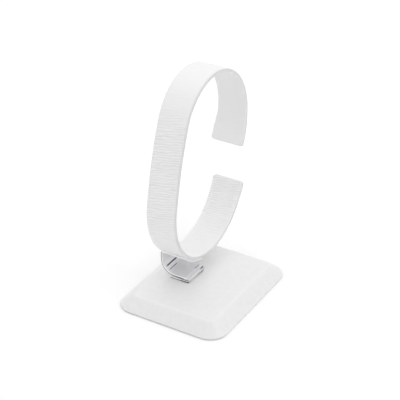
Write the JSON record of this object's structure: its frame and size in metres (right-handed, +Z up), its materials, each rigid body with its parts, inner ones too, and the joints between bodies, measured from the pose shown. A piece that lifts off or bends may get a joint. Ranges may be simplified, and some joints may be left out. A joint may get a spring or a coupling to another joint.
{
  "type": "bangle display stand",
  "caption": "Table-top bangle display stand: a springy leatherette collar, open at the back, held over a bevelled wrapped base by a bent polished foot bracket.",
  "frame": {"origin": "The middle of the base's underside, where the stand rests.", "axes": "Millimetre model written in metres: +Z up, -Y towards the front of the stand, +X to its right. The collar stands left of the middle and opens towards +Y."},
  "size_m": [0.075, 0.1106, 0.1415],
  "materials": {
    "board": "plain fibreboard, rough cut",
    "smooth_leatherette": "smooth fine white leatherette, low sheen",
    "lining_sheet": "thin white leatherette sheet",
    "polished_metal": "bright chrome plate on bent sheet",
    "screw_steel": "plain zinc-bright steel",
    "strip_steel": "plain spring steel strip",
    "grained_leatherette": "white leatherette with a fine wavy cross grain",
    "inner_leatherette": "white leatherette, slightly smoother grain",
    "rivet_metal": "plain aluminium"
  },
  "bodies": {
    "root": {"base_board": "board", "base_cover": "smooth_leatherette", "base_lining": "lining_sheet", "foot_bracket": "polished_metal", "foot_screw_front": "screw_steel", "foot_screw_back": "screw_steel", "collar_core": "strip_steel", "collar_cover": "grained_leatherette", "collar_lining": "inner_leatherette", "collar_rivet_left": "rivet_metal", "collar_rivet_right": "rivet_metal"}
  },
  "joints": []
}
